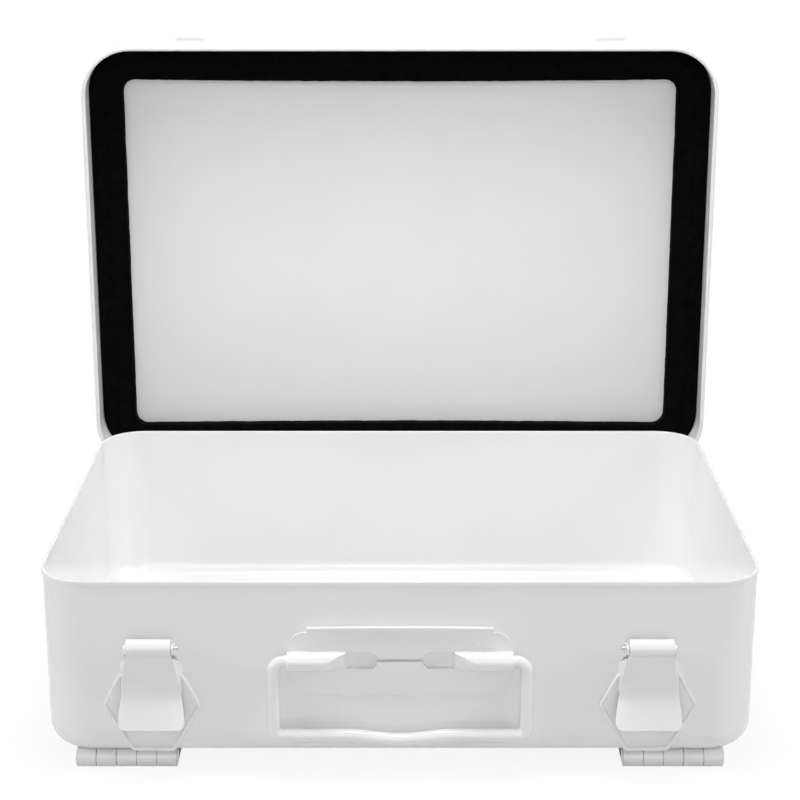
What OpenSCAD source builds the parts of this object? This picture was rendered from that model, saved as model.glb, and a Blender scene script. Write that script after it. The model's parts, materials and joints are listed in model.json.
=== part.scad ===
// Pressed-steel hinged box with two draw latches, a bail handle and four fold-out hangers.
// Millimetres. X is the width, Y runs from front to back, Z is up, the box stands on Z = 0.

/* [Box] */
// Width of the base over its rim
box_w = 370; // [350:1:400]
// Depth of the base over its rim
box_d = 251; // [232:1:272]
// Height of the base from underside to rim
box_h = 98.2; // [94:0.2:112]
// Plan radius of the base corners
corner_r = 25; // [22:0.5:29]
// Rounding between walls and floor of the base
edge_r = 13; // [9:0.5:15]

/* [Sheet] */
// Sheet of base and lid
sheet = 1; // [0.8:0.1:1.2]
// Thickness of the rolled rims
hem_t = 2.4; // [2:0.1:2.8]
// Height of the rolled rims
hem_h = 3; // [2.5:0.5:5]
// Plate of leaves, latch bases and handle base
plate_t = 1.2; // [1:0.1:1.5]

/* [Lid] */
// How far the lid stands out past the base rim on each side
lid_over = 7.5; // [7.5:0.1:8.5]
// Outside height of the lid
lid_depth = 30; // [28:0.5:34]
// Plan radius of the lid corners
lid_corner_r = 30; // [27:0.5:34]
// Rounding between lid walls and lid panel
lid_edge_r = 4; // [3:0.5:6]
// How far the closed lid laps over the base
lid_lap = 22.7; // [20:0.1:22.7]
// Width of the foam seal
seal_w = 21; // [18:0.5:24]
// Inner corner radius of the foam seal
seal_corner_r = 7.5; // [5:0.5:12]
// How far the seal's long inner edges bow inwards
seal_bow = 1.2; // [0.8:0.1:2]

/* [Lid hinges] */
// Distance of each hinge from the middle
hinge_x = 143; // [120:1:145]
// Length of each hinge
hinge_len = 52; // [40:1:56]
// Outer radius of the hinge barrel
hinge_r = 3.2; // [3:0.1:3.6]
// Radius of the hinge pin
hinge_pin_r = 1.3; // [1.1:0.1:1.5]
// Height of each hinge leaf
hinge_leaf_h = 19; // [14:0.5:21]

/* [Latches] */
// Distance of each latch from the middle
latch_x = 127; // [108:1:135]
// Latch pivot below the rim
latch_drop = 32.7; // [31.2:0.1:35.2]
// Latch pivot in front of the wall
roll_out = 9; // [8.6:0.1:9.6]
// Outer radius of the rolled eye
roll_r = 4.3; // [4:0.1:4.6]
// Length of the rolled eye with its two ears
roll_len = 23.2; // [21:0.2:26]
// Radius of the latch pin
latch_pin_r = 1; // [0.8:0.1:1.2]
// Length of the pin's free inner end
pin_stub = 3.5; // [2:0.5:4.5]
// Loop pivot below the latch pivot
loop_drop = 17.2; // [16.5:0.1:18]
// Loop pivot in front of the wall
loop_out = 4.2; // [4:0.1:4.6]
// Lever length from its pivot to its tip
lever_len = 44.3; // [42:0.5:46]
// Lever tip in front of the wall
tip_out = 12.2; // [10:0.2:14]
// Lever width at its tip
tip_w = 34; // [32:0.5:35]
// Wire radius of the loop
loop_wire_r = 1; // [0.9:0.05:1.1]
// Loop length from its pivot to its bar
loop_len = 41.5; // [40:0.25:43]
// Widest width of the loop
loop_w = 48.6; // [48:0.5:54]
// Width of the loop's bar
loop_bar_w = 21; // [20.5:0.5:24]

/* [Keepers] */
// Width of the keeper's hook
keeper_w = 17.5; // [14:0.5:17.5]
// Width of the keeper's foot
keeper_foot_w = 22; // [18:0.5:26]
// How far the hook stands out from the lid
keeper_out = 6.5; // [6.3:0.1:7.5]

/* [Handle] */
// Width of the handle base plate
handle_w = 115; // [110:1:125]
// Handle pivot below the rim
handle_drop = 42; // [41.2:0.2:44.2]
// Top of the handle plate below the rim
handle_top = 26.6; // [26.2:0.2:28.2]
// Bottom of the handle plate below the rim
handle_low = 62.2; // [60.2:0.5:66.2]
// Outer radius of the handle sleeves
sleeve_r = 5.15; // [4.9:0.05:5.5]
// Length of each handle sleeve
sleeve_len = 30; // [26:0.5:32]
// Wire radius of the bail
bail_r = 3.2; // [2.8:0.1:3.4]
// Bail drop from its pivot to the straight grip
bail_drop = 41; // [39:0.5:46]
// Extra dip in the middle of the grip
grip_dip = 3; // [2:0.5:4]
// Width of the plate's turned-out top lip
lip_w = 95; // [80:1:98]
// Depth of the turned-out top lip
lip_out = 4.8; // [3.5:0.1:5.2]

/* [Hangers] */
// Distance of each hanger from the middle
foot_x = 143; // [120:1:145]
// Length of each hanger barrel
foot_len = 52.4; // [44:0.4:56]
// Outer radius of the hanger barrel
foot_r = 5.1; // [4.8:0.1:5.6]
// Hanger axis behind the edge of the base
foot_in = 11.5; // [10:0.5:14]
// Length of the fixed leaf
foot_leaf = 28; // [22:0.5:32]
// Radius of the hanger pin
foot_pin_r = 1.9; // [1.6:0.1:2.2]
// Radius of the screw holes
screw_r = 2.25; // [1.8:0.05:2.6]
// Distance between the two screw holes
screw_pitch = 32; // [26:0.5:36]

/* [Fits] */
// Radial clearance of every pin in its turning eye
pin_air = 0.05; // [0.03:0.01:0.08]
// Gap between neighbouring knuckles
knuckle_gap = 0.3; // [0.2:0.05:0.4]
// Gap between parts that pass or nearly touch
rest_air = 0.1; // [0.08:0.01:0.15]
// Gap between the folded-out hanger leaf and the underside
foot_air = 0.2; // [0.1:0.05:0.3]

/* [Hidden] */
$fn = 48;

white = [0.93, 0.93, 0.92];
foam = [0.06, 0.06, 0.06];
steel = [0.8, 0.8, 0.8];

// heights
stand = 2 * foot_r + foot_air;
rim_z = stand + box_h;
hem_step = (hem_t - sheet) / 2;
wall_front = -box_d / 2 + hem_step;
wall_back = box_d / 2 - hem_step;

// lid, described closed and then turned open about the hinge axis
lid_turn = 90;
lid_w = box_w + 2 * lid_over;
lid_d = box_d + 2 * lid_over;
lid_z = rim_z - lid_lap;
axis_y = box_d / 2 + lid_over + plate_t - hinge_r;
axis_z = lid_z - hinge_r - knuckle_gap;
leaf_jog = 4;
jog_edge = 0.7;
stop_out = 9;
seal_t = lid_depth - sheet - lid_lap - rest_air;

// latch
latch_z = rim_z - latch_drop;
loop_z = latch_z - loop_drop;
ear_t = plate_t;
roll_half = roll_len / 2 - ear_t - 0.15;
waist_out = 5.2;
waist_z = -26.8;
lever_t = 1;
neck_half = 12.2;
seat_half = 14;
waist_half = 15.2;
tip_r = 3.5;
loop_waist = 16.6;
shoulder_w = 31.4;
loop_bend = 2;
flange_t = 1;
keep_y = -lid_d / 2 - keeper_out + plate_t + rest_air + loop_wire_r;
loop_lean = asin((wall_front - loop_out - keep_y) / loop_len);
keep_z = loop_z + loop_len * cos(loop_lean);
loop_turn = 180 - loop_lean;

// handle
handle_z = rim_z - handle_drop;
handle_out = sleeve_r + 0.05;
handle_y = wall_front - handle_out;
leg_x = handle_w / 2 + bail_r + 4;
leg_bend = 6;
grip_bend = 7;
lip_z = rim_z - lid_lap - 1.35;
plate_corner_r = 9.5;
window_w = 15.6;
window_h = 9.7;
slit_h = 2;

// hangers
foot_y = -box_d / 2 + foot_in;
foot_start = foot_r + knuckle_gap + 0.1;
swing_leaf = foot_leaf + 4;

// the middle of the whole outline lies on Y = 0
front_y = min(wall_front - roll_out - roll_r, wall_front - tip_out);
back_y = axis_y + (lid_z - axis_z) + lid_depth;
tray_y = -(front_y + back_y) / 2;

function ahead(u) = wall_front - u;
function dir2(a, b) = (b - a) / norm(b - a);
function turn_at(a, b, c) = acos(min(1, dir2(a, b) * dir2(b, c)));
function set_back(a, b, c, r) = r * tan(turn_at(a, b, c) / 2);

module placed() { translate([0, tray_y, 0]) children(); }
module opened() {
    translate([0, axis_y, axis_z]) rotate([-lid_turn, 0, 0])
        translate([0, -axis_y, -axis_z]) children();
}
module both(side) { if (side < 0) children(); else mirror([1, 0, 0]) children(); }
module ends(side) { if (side < 0) children(); else mirror([0, 1, 0]) children(); }

// extrude a Y-Z outline along X, or an X-Z outline along Y
module along_x(x0, x1) { translate([x0, 0, 0]) rotate([90, 0, 90]) linear_extrude(x1 - x0) children(); }
module along_y(y0, y1) { translate([0, y1, 0]) rotate([90, 0, 0]) linear_extrude(y1 - y0) children(); }
module bar_x(x0, x1, y, z, r) { translate([x0, y, z]) rotate([0, 90, 0]) cylinder(r = r, h = x1 - x0); }
module rounded(w, h, r) {
    square([w - 2 * r, h], center = true);
    square([w, h - 2 * r], center = true);
    for (sx = [-1, 1], sy = [-1, 1]) translate([sx * (w / 2 - r), sy * (h / 2 - r)]) circle(r = r);
}

// four walls with rounded corners from one wall outline
module walls(w, d, r) {
    for (k = [0:3]) {
        sx = (k == 0 || k == 3) ? 1 : -1;
        sy = (k < 2) ? 1 : -1;
        translate([sx * (w / 2 - r), sy * (d / 2 - r), 0]) rotate([0, 0, 90 * k])
            rotate_extrude(angle = 90) children();
    }
    for (s = [0, 180]) rotate([0, 0, s]) {
        translate([w / 2 - r, 0, 0]) along_y(-d / 2 + r, d / 2 - r) children();
        rotate([0, 0, 90]) translate([d / 2 - r, 0, 0]) along_y(-w / 2 + r, w / 2 - r) children();
    }
}
module quarter_ring(r, t) {
    difference() {
        intersection() { circle(r = r); square([r, r]); }
        circle(r = r - t);
    }
}
module tray_outline() {
    rw = corner_r - hem_step;
    translate([rw - sheet, edge_r]) square([sheet, box_h - hem_t / 2 - edge_r]);
    translate([corner_r - hem_t, box_h - hem_h]) square([hem_t, hem_h - hem_t / 2]);
    translate([corner_r - hem_t / 2, box_h - hem_t / 2]) circle(r = hem_t / 2);
    translate([rw - edge_r, edge_r]) mirror([0, 1]) quarter_ring(edge_r, sheet);
    square([rw - edge_r, sheet]);
}
module lid_outline() {
    translate([lid_corner_r - sheet, hem_t / 2]) square([sheet, lid_depth - lid_edge_r - hem_t / 2]);
    translate([lid_corner_r - hem_t, hem_t / 2]) square([hem_t, hem_h - hem_t / 2]);
    translate([lid_corner_r - hem_t / 2, hem_t / 2]) circle(r = hem_t / 2);
    translate([lid_corner_r - lid_edge_r, lid_depth - lid_edge_r]) quarter_ring(lid_edge_r, sheet);
    translate([0, lid_depth - sheet]) square([lid_corner_r - lid_edge_r, sheet]);
}

// round wire along points in the X-Z plane, with a bend radius at each inner point
module rod(p, q, r) {
    translate([p[0], p[1], 0]) rotate([0, 0, atan2(q[1] - p[1], q[0] - p[0])])
        rotate([0, 90, 0]) cylinder(r = r, h = norm(q - p));
}
module elbow(a, b, c, bend, r) {
    d1 = dir2(a, b);
    d2 = dir2(b, c);
    t = turn_at(a, b, c);
    s = d1[0] * d2[1] - d1[1] * d2[0];
    o = b + dir2([0, 0], d2 - d1) * bend / cos(t / 2);
    e = (s > 0 ? b - d1 * bend * tan(t / 2) : b + d2 * bend * tan(t / 2)) - o;
    translate([o[0], o[1], 0]) rotate([0, 0, atan2(e[1], e[0])])
        rotate_extrude(angle = t) translate([bend, 0]) circle(r = r);
}
module wire_open(p, bend, r) {
    n = len(p);
    rotate([90, 0, 0]) {
        for (i = [0:n - 2]) {
            d = dir2(p[i], p[i + 1]);
            a = i == 0 ? 0 : set_back(p[i - 1], p[i], p[i + 1], bend[i]);
            b = i == n - 2 ? 0 : set_back(p[i], p[i + 1], p[i + 2], bend[i + 1]);
            rod(p[i] + d * a, p[i + 1] - d * b, r);
        }
        for (i = [1:n - 2]) elbow(p[i - 1], p[i], p[i + 1], bend[i], r);
    }
}
module wire_closed(p, bend, r) {
    n = len(p);
    rotate([90, 0, 0]) for (i = [0:n - 1]) {
        a = p[(i + n - 1) % n];
        b = p[i];
        c = p[(i + 1) % n];
        e = p[(i + 2) % n];
        d = dir2(b, c);
        elbow(a, b, c, bend, r);
        rod(b + d * set_back(a, b, c, bend), c - d * set_back(b, c, e, bend), r);
    }
}

// knuckles of a barrel that lies along X
function knuckle_w(length) = (length - 4 * knuckle_gap) / 5;
function knuckle_x(length, i) = -length / 2 + i * (knuckle_w(length) + knuckle_gap);
module pin_with_heads(length, y, z, r, head_r, head_t) {
    bar_x(-length / 2 - rest_air - head_t / 2, length / 2 + rest_air + head_t / 2, y, z, r);
    for (s = [-1, 1]) {
        x = s * (length / 2 + rest_air);
        bar_x(min(x, x + s * head_t), max(x, x + s * head_t), y, z, head_r);
    }
}

module base_tray() {
    color(white) placed() translate([0, 0, stand]) {
        walls(box_w, box_d, corner_r) tray_outline();
        translate([-box_w / 2 + corner_r, -box_d / 2 + corner_r, 0])
            cube([box_w - 2 * corner_r, box_d - 2 * corner_r, sheet]);
    }
}

module handle_plate() {
    mid_z = rim_z - (handle_top + handle_low) / 2;
    in_x = handle_w / 2 - sleeve_len;
    color(white) placed() difference() {
        union() {
            difference() {
                along_y(ahead(plate_t), wall_front) {
                    translate([0, mid_z]) rounded(handle_w, handle_low - handle_top, plate_corner_r);
                    translate([-lip_w / 2, mid_z]) square([lip_w, lip_z - mid_z]);
                }
                for (s = [-1, 1]) translate([s * (in_x - window_w / 2) - window_w / 2,
                    ahead(plate_t + 1), handle_z - window_h / 2 - 1])
                    cube([window_w, plate_t + 2, window_h]);
                translate([-in_x + window_w / 2, ahead(plate_t + 1), handle_z - slit_h / 2 - 1])
                    cube([2 * in_x - window_w, plate_t + 2, slit_h]);
            }
            translate([-lip_w / 2, ahead(lip_out), lip_z - plate_t]) cube([lip_w, lip_out, plate_t]);
            for (s = [-1, 1]) bar_x(s > 0 ? in_x : -handle_w / 2, s > 0 ? handle_w / 2 : -in_x,
                handle_y, handle_z, sleeve_r);
        }
        bar_x(-handle_w, handle_w, handle_y, handle_z, bail_r + pin_air);
    }
}

module carry_handle() {
    end_x = handle_w / 2 - 0.43 * sleeve_len;
    dip_x = 0.36 * leg_x;
    color(steel) placed() translate([0, handle_y, handle_z]) for (side = [-1, 1]) both(side) {
        wire_open([[-end_x, 0], [-leg_x, 0], [-leg_x, -bail_drop], [-dip_x, -bail_drop]],
            [0, leg_bend, grip_bend, 0], bail_r);
        hull() {
            bar_x(-dip_x - 0.1, -dip_x, 0, -bail_drop, bail_r);
            bar_x(-0.1, 0, 0, -bail_drop - grip_dip, bail_r);
        }
    }
}

module latch_plate(side) {
    half = roll_len / 2;
    color(white) placed() both(side) translate([-latch_x, 0, 0]) difference() {
        union() {
            along_y(ahead(plate_t), wall_front) translate([0, latch_z]) polygon([
                [-half, 3], [-half, -6], [-loop_w / 2 + 3, -loop_drop - loop_waist],
                [-loop_bar_w / 2 + 1.4, -loop_drop - loop_len + 2.6],
                [loop_bar_w / 2 - 1.4, -loop_drop - loop_len + 2.6],
                [loop_w / 2 - 3, -loop_drop - loop_waist], [half, -6], [half, 3]]);
            for (x = [-half, half - ear_t]) {
                bar_x(x, x + ear_t, ahead(roll_out), latch_z, roll_r);
                translate([x, ahead(roll_out), latch_z - 3]) cube([ear_t, roll_out, 6]);
            }
        }
        bar_x(-latch_x, latch_x, ahead(roll_out), latch_z, latch_pin_r + pin_air);
    }
}

module latch_pin(side) {
    half = roll_len / 2;
    color(steel) placed() both(side) translate([-latch_x, 0, 0]) {
        bar_x(-half - 0.3, half + pin_stub, ahead(roll_out), latch_z, latch_pin_r);
        bar_x(-half - 0.6, -half, ahead(roll_out), latch_z, latch_pin_r + 0.8);
    }
}

module latch_lever(side) {
    top = [roll_out + 1, -3.2];
    low = [tip_out, -lever_len];
    neck_z = -roll_r - 2;
    tip_z = -lever_len + tip_r;
    color(white) placed() both(side) translate([-latch_x, 0, 0]) difference() {
        union() {
            bar_x(-roll_half, roll_half, ahead(roll_out), latch_z, roll_r);
            intersection() {
                along_x(-tip_w, tip_w) translate([0, latch_z]) polygon([
                    [ahead(top[0]), top[1]], [ahead(waist_out), waist_z], [ahead(low[0]), low[1]],
                    [ahead(low[0] - lever_t * 0.93), low[1] - lever_t * 0.4],
                    [ahead(waist_out - lever_t * 1.05), waist_z - 0.1],
                    [ahead(top[0] - lever_t * 1.03), top[1] - 0.2]]);
                along_y(ahead(roll_out + tip_w), wall_front) translate([0, latch_z]) {
                    polygon([[-roll_half, 0], [-roll_half, -roll_r - 0.7], [-neck_half, neck_z],
                        [-seat_half, -loop_drop], [-waist_half, waist_z], [-tip_w / 2, tip_z + 0.8],
                        [-tip_w / 2, tip_z], [tip_w / 2, tip_z], [tip_w / 2, tip_z + 0.8],
                        [waist_half, waist_z], [seat_half, -loop_drop],
                        [neck_half, neck_z], [roll_half, -roll_r - 0.7], [roll_half, 0]]);
                    translate([-tip_w / 2 + tip_r, -lever_len])
                        square([tip_w - 2 * tip_r, tip_r + 0.5]);
                    for (s = [-1, 1]) translate([s * (tip_w / 2 - tip_r), tip_z]) circle(r = tip_r);
                }
            }
            intersection() {
                along_x(-tip_w, tip_w) translate([0, latch_z]) polygon([
                    [ahead(roll_out + 0.3), -roll_r - 2], [ahead(waist_out - 0.2), waist_z],
                    [ahead(waist_out - lever_t), waist_z], [ahead(loop_out - 2.2), -loop_drop - 4.2],
                    [ahead(loop_out - 2.2), -loop_drop + 4.2], [ahead(roll_out - 1.4), -roll_r - 2]]);
                along_y(ahead(roll_out + tip_w), wall_front) translate([0, latch_z]) for (s = [-1, 1])
                    polygon([[s * neck_half, neck_z], [s * seat_half, -loop_drop],
                        [s * waist_half, waist_z], [s * (waist_half - flange_t), waist_z],
                        [s * (seat_half - flange_t), -loop_drop], [s * (neck_half - flange_t), neck_z]]);
            }
        }
        bar_x(-latch_x, latch_x, ahead(roll_out), latch_z, latch_pin_r + pin_air);
        bar_x(-latch_x, latch_x, ahead(loop_out), loop_z, loop_wire_r + pin_air);
    }
}

module latch_loop(side) {
    p = [[-shoulder_w / 2, 0], [-loop_w / 2, -loop_waist], [-loop_bar_w / 2, -loop_len],
        [loop_bar_w / 2, -loop_len], [loop_w / 2, -loop_waist], [shoulder_w / 2, 0]];
    color(steel) placed() both(side) translate([-latch_x, ahead(loop_out), loop_z])
        wire_closed(p, loop_bend, loop_wire_r);
}

module keeper(side) {
    face = -lid_d / 2;
    ledge = keep_z - loop_wire_r - foot_air;
    color(white) placed() opened() both(side) translate([-latch_x, 0, 0]) {
        along_y(face - plate_t, face) translate([0, ledge - plate_t]) {
            translate([-keeper_foot_w / 2, 3]) square([keeper_foot_w, 9]);
            translate([-keeper_w / 2, 0]) square([keeper_w, 4]);
        }
        translate([-keeper_w / 2, face - keeper_out, ledge - plate_t])
            cube([keeper_w, keeper_out, plate_t]);
        translate([-keeper_w / 2, face - keeper_out, ledge - plate_t])
            cube([keeper_w, plate_t, plate_t + foot_air + 2 * loop_wire_r]);
    }
}

module lid_shell() {
    color(white) placed() opened() translate([0, 0, lid_z]) {
        walls(lid_w, lid_d, lid_corner_r) lid_outline();
        translate([-lid_w / 2 + lid_corner_r, -lid_d / 2 + lid_corner_r, lid_depth - sheet])
            cube([lid_w - 2 * lid_corner_r, lid_d - 2 * lid_corner_r, sheet]);
    }
}

module seal_window() {
    w = lid_w - 2 * sheet - 2 * seal_w;
    d = lid_d - 2 * sheet - 2 * seal_w;
    n = 24;
    difference() {
        rounded(w, d, seal_corner_r);
        for (s = [-1, 1]) polygon([
            for (i = [0:n]) [w * (i / n - 0.5), s * (d / 2 - seal_bow * (1 - pow(2 * i / n - 1, 2)))],
            [w / 2, s * (d / 2 + 1)], [-w / 2, s * (d / 2 + 1)]]);
    }
}
module lid_gasket() {
    inset = 2 * (sheet + foot_air);
    step_z = lid_depth - lid_edge_r;
    front = lid_lap + rest_air;
    color(foam) placed() opened() translate([0, 0, lid_z]) difference() {
        union() {
            translate([0, 0, front]) linear_extrude(step_z - front)
                rounded(lid_w - inset, lid_d - inset, lid_corner_r - inset / 2);
            translate([0, 0, step_z - 0.5]) linear_extrude(lid_edge_r - sheet + 0.5)
                rounded(lid_w - 2 * lid_edge_r, lid_d - 2 * lid_edge_r, lid_corner_r - lid_edge_r);
        }
        translate([0, 0, front - 1]) linear_extrude(lid_depth) seal_window();
    }
}

module hinge_base_leaf(side) {
    edge = axis_z - hinge_r - knuckle_gap;
    near = axis_y - hinge_r;
    low = edge - 5 - hinge_leaf_h;
    w = knuckle_w(hinge_len);
    color(white) placed() both(side) translate([-hinge_x, 0, 0]) difference() {
        union() {
            along_x(-hinge_len / 2, hinge_len / 2) polygon([
                [wall_back, low], [wall_back + plate_t, low], [wall_back + plate_t, edge - leaf_jog - 0.4],
                [near + plate_t, edge - jog_edge - 0.4], [near + plate_t, edge], [near, edge],
                [near, edge - jog_edge], [wall_back, edge - leaf_jog]]);
            for (i = [0, 2, 4]) {
                x = knuckle_x(hinge_len, i);
                along_x(x, x + w) translate([near, edge - 0.2]) square([plate_t, axis_z - edge + 0.2]);
                bar_x(x, x + w, axis_y, axis_z, hinge_r);
            }
            along_x(-w / 2, w / 2) {
                translate([near, edge - 1.3]) square([hinge_r, axis_z - edge]);
                translate([wall_back + plate_t / 2, axis_z - hinge_r - rest_air - plate_t])
                    square([axis_y + stop_out - wall_back, plate_t]);
            }
        }
        bar_x(-hinge_len, hinge_len, axis_y, axis_z, hinge_pin_r + pin_air);
    }
}
module hinge_lid_leaf(side) {
    edge = axis_z + hinge_r + knuckle_gap;
    far = axis_y + hinge_r;
    w = knuckle_w(hinge_len);
    color(white) placed() opened() both(side) translate([-hinge_x, 0, 0]) difference() {
        union() {
            along_x(-hinge_len / 2, hinge_len / 2) translate([far - plate_t, edge])
                square([plate_t, hinge_leaf_h]);
            for (i = [1, 3]) {
                x = knuckle_x(hinge_len, i);
                along_x(x, x + w) translate([far - plate_t, axis_z]) square([plate_t, edge - axis_z + 1]);
                bar_x(x, x + w, axis_y, axis_z, hinge_r);
            }
        }
        bar_x(-hinge_len, hinge_len, axis_y, axis_z, hinge_pin_r + pin_air);
    }
}
module hinge_pin(side) {
    color(steel) placed() both(side) translate([-hinge_x, 0, 0])
        pin_with_heads(hinge_len, axis_y, axis_z, hinge_pin_r, hinge_pin_r + 0.8, 0.8);
}

module hanger_base(side, row) {
    w = knuckle_w(foot_len);
    color(white) placed() both(side) ends(row) translate([-foot_x, foot_y, 0]) difference() {
        union() {
            translate([-foot_len / 2, foot_start, stand - plate_t]) cube([foot_len, foot_leaf, plate_t]);
            for (i = [0, 2, 4]) {
                x = knuckle_x(foot_len, i);
                translate([x, 0, stand - plate_t]) cube([w, foot_start + 1, plate_t]);
                bar_x(x, x + w, 0, foot_r, foot_r);
            }
        }
        bar_x(-foot_len, foot_len, 0, foot_r, foot_pin_r + pin_air);
    }
}
module hanger_leaf(side, row) {
    w = knuckle_w(foot_len);
    far = foot_start + swing_leaf;
    color(white) placed() both(side) ends(row) translate([-foot_x, foot_y, 0]) difference() {
        union() {
            translate([-foot_len / 2, foot_start, 0]) cube([foot_len, swing_leaf, plate_t]);
            translate([-foot_len / 2, far - plate_t, 0]) cube([foot_len, plate_t, 2 * foot_r]);
            for (i = [1, 3]) {
                x = knuckle_x(foot_len, i);
                translate([x, 0, 0]) cube([w, foot_start + 1, plate_t]);
                bar_x(x, x + w, 0, foot_r, foot_r);
            }
        }
        bar_x(-foot_len, foot_len, 0, foot_r, foot_pin_r + pin_air);
        for (s = [-1, 1]) translate([s * screw_pitch / 2, foot_start + swing_leaf / 2, -1])
            cylinder(r = screw_r, h = plate_t + 2);
    }
}
module hanger_pin(side, row) {
    color(steel) placed() both(side) ends(row) translate([-foot_x, foot_y, 0])
        pin_with_heads(foot_len, 0, foot_r, foot_pin_r, foot_pin_r + 1, 0.8);
}

base_tray();
handle_plate();
carry_handle();
latch_plate(-1);  // left_latch_plate
latch_pin(-1);  // left_latch_pin
latch_lever(-1);  // left_latch_lever
latch_loop(-1);  // left_latch_loop
latch_plate(1);  // right_latch_plate
latch_pin(1);  // right_latch_pin
latch_lever(1);  // right_latch_lever
latch_loop(1);  // right_latch_loop
hinge_base_leaf(-1);  // left_hinge_base_leaf
hinge_pin(-1);  // left_hinge_pin
hinge_lid_leaf(-1);  // left_hinge_lid_leaf
hinge_base_leaf(1);  // right_hinge_base_leaf
hinge_pin(1);  // right_hinge_pin
hinge_lid_leaf(1);  // right_hinge_lid_leaf
lid_shell();
lid_gasket();
keeper(-1);  // left_keeper
keeper(1);  // right_keeper
hanger_base(-1, -1);  // front_left_hanger_base
hanger_pin(-1, -1);  // front_left_hanger_pin
hanger_leaf(-1, -1);  // front_left_hanger_leaf
hanger_base(1, -1);  // front_right_hanger_base
hanger_pin(1, -1);  // front_right_hanger_pin
hanger_leaf(1, -1);  // front_right_hanger_leaf
hanger_base(-1, 1);  // back_left_hanger_base
hanger_pin(-1, 1);  // back_left_hanger_pin
hanger_leaf(-1, 1);  // back_left_hanger_leaf
hanger_base(1, 1);  // back_right_hanger_base
hanger_pin(1, 1);  // back_right_hanger_pin
hanger_leaf(1, 1);  // back_right_hanger_leaf
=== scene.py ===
import json
import math

import bmesh
import bpy
from bpy.props import FloatProperty, FloatVectorProperty, PointerProperty
from mathutils import Matrix, Vector, noise


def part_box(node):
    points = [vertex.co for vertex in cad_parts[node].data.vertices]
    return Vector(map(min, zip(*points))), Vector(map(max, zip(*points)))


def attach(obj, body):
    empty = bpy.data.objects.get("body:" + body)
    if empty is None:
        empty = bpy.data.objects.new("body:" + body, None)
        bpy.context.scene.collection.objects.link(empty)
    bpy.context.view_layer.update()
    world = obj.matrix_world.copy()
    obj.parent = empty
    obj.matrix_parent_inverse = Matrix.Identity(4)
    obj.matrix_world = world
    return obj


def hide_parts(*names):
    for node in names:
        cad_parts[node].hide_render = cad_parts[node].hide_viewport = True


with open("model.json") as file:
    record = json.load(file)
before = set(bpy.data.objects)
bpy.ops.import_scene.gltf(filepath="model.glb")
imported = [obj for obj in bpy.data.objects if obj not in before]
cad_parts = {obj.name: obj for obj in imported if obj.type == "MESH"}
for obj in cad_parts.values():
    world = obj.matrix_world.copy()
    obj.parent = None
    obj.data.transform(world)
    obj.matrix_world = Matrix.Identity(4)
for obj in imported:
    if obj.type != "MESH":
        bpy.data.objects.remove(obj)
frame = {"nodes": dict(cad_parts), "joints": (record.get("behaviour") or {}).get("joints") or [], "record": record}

bl_info = {
    "name": "Steel first aid box",
    "version": (1, 0, 0),
    "blender": (4, 5, 0),
    "location": "3D View > Sidebar > First Aid Box",
    "description": "Builds an enamelled steel first aid box around its packed parts",
    "category": "Object",
}

MM = 0.001
# Points that are closer than this count as one.
WELDED = 1e-6
# Keeps the end of an arc off the next point of its line.
HAIR = 0.01 * MM
SIDES = {"left": -1, "right": 1}
ROWS = {"front": -1, "back": 1}
X, Y, Z = Vector((1, 0, 0)), Vector((0, 1, 0)), Vector((0, 0, 1))
NOWHERE = (0, 0, 0)
WHITE = (1, 1, 1, 1)

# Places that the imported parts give, in metres.
TRAY_LOW, TRAY_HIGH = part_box("base_tray")
LID_LOW, LID_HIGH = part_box("lid_shell")
MID_Y = (TRAY_LOW.y + TRAY_HIGH.y) / 2
JOINT_AT = {j["name"]: Vector(j["pos_m"]) for j in frame["joints"]}
HINGE_AT = JOINT_AT["lid_hinge"]
# The lid's pieces are shaped shut, in the plan of the base, and swung open about the hinge.
SWUNG_OPEN = (
    Matrix.Translation(HINGE_AT) @ Matrix.Rotation(-math.pi / 2, 4, "X") @ Matrix.Translation(-HINGE_AT)
)
SHUT_RIM_Z = HINGE_AT.z + LID_LOW.y - HINGE_AT.y
# The tray's walls stand this far inside its rim.
WALL_STEP = 0.7 * MM
WALL_Y = TRAY_LOW.y + WALL_STEP
# Distances of the latches, and of the hinges and hangers, from the middle.
LATCH_X = 127 * MM
LEAF_X = 143 * MM
KNUCKLE_GAP = 0.3 * MM
# How far a knuckle is rolled round its pin.
ROLLED = math.radians(318)

# The studio's square lamps: place, side in metres and power in watts.
LAMPS = {
    "overhead_softbox": ((0.0, -0.07, 1.2), 0.3, 3.2),
    "forward_softbox": ((0.0, -0.35, 1.5), 0.5, 6.2),
    "low_front_softbox": ((0.0, -2.1, 0.9), 1.0, 10.6),
    "left_softbox": ((-1.6, -0.45, 0.9), 0.9, 10.6),
    "right_softbox": ((1.6, -0.45, 0.9), 0.9, 10.6),
    "low_back_softbox": ((0.0, 2.1, 0.9), 1.0, 5.0),
}
LAMPS_FACE = Vector((0, 0, 0.12))
CAMERA_AT = (0, -1.0327, 0.4715)
CAMERA_DOWN = math.radians(16.665)
CAMERA_LENS = 85.81


def linear(hex_colour):
    """Three linear channels of an sRGB colour written in hex."""
    channels = [int(hex_colour[i:i + 2], 16) / 255 for i in (0, 2, 4)]
    return [c / 12.92 if c <= 0.04045 else ((c + 0.055) / 1.055) ** 2.4 for c in channels]


def length(label, note, millimetres):
    """A size of the box, given in millimetres."""
    return FloatProperty(name=label, description=note, default=millimetres * MM, unit="LENGTH", precision=5)


def colour(label, note, hex_colour):
    """A colour of a finish, given in hex."""
    return FloatVectorProperty(
        name=label, description=note, default=linear(hex_colour), subtype="COLOR", size=3, min=0, max=1)


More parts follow.
